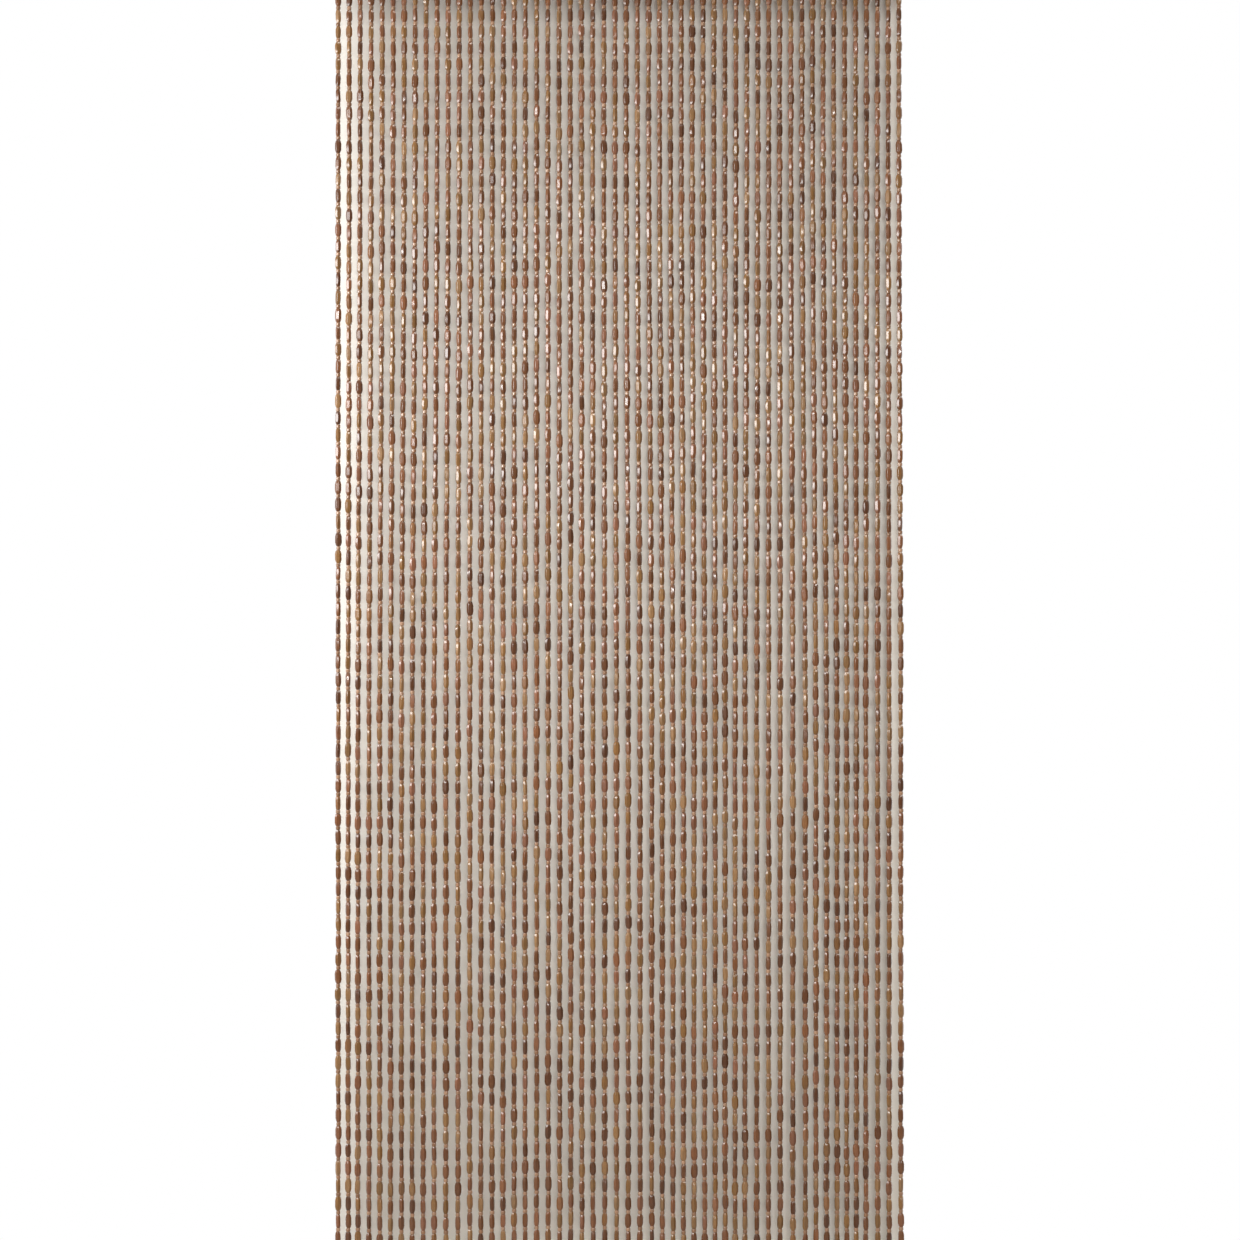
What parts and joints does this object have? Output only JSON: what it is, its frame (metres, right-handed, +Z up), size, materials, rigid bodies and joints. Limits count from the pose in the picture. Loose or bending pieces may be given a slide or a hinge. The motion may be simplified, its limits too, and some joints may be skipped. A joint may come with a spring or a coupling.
{
  "type": "bead curtain",
  "caption": "Hanging door curtain of parallel strands, each threaded with long oval and small round varnished wooden beads and knotted into a plain wooden heading lath.",
  "frame": {"origin": "middle of the heading lath's top edge, where the lintel or wall holds the curtain", "axes": "+Z up, the strands hang down -Z; X along the lath; the front faces -Y"},
  "size_m": [0.9, 0.016, 2],
  "materials": {
    "long_bead_wood": "gloss",
    "small_bead_wood": "satin",
    "heading_wood": "satin",
    "cord": "matte"
  },
  "bodies": {
    "root": {"strand_curtain": "long_bead_wood"}
  },
  "joints": []
}
